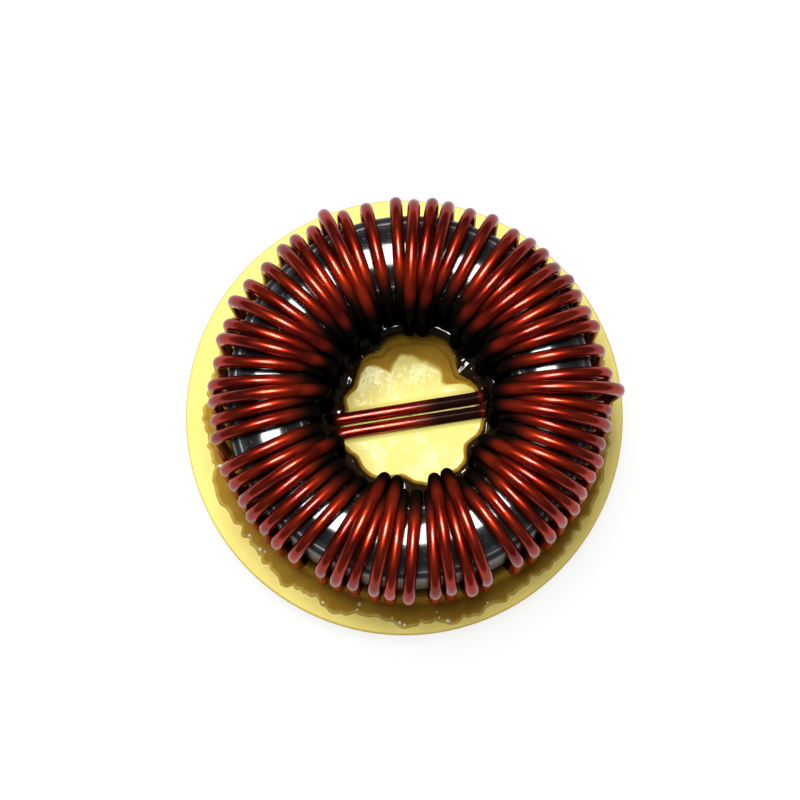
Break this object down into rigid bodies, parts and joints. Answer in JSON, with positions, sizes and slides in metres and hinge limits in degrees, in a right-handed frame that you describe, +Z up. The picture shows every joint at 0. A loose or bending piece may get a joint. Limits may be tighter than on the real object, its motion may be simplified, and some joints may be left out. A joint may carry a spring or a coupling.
{
  "type": "common mode choke",
  "caption": "Toroidal common mode choke: two enamelled copper windings on a cased ring core, glued to a round board with straight lead pins below.",
  "frame": {"origin": "under the board's centre, on the plane of the four lead tips", "axes": "+Z up, parallel to the ring's axis, +X to the right of the two leads that cross the hole, -Y to the front"},
  "size_m": [0.0434, 0.0434, 0.0261],
  "materials": {
    "board": "satin pale yellow glass-fibre laminate",
    "glue": "glossy amber glue",
    "core_tape": "bare tape-wound metal",
    "case_plastic": "glossy black moulded plastic",
    "enamelled_wire": "glossy dark red enamel over copper"
  },
  "bodies": {
    "root": {"base_plate": "board", "glue_bed": "glue", "core": "core_tape", "case_tray": "case_plastic", "case_lid": "case_plastic", "winding_a": "enamelled_wire", "winding_b": "enamelled_wire"}
  },
  "joints": []
}
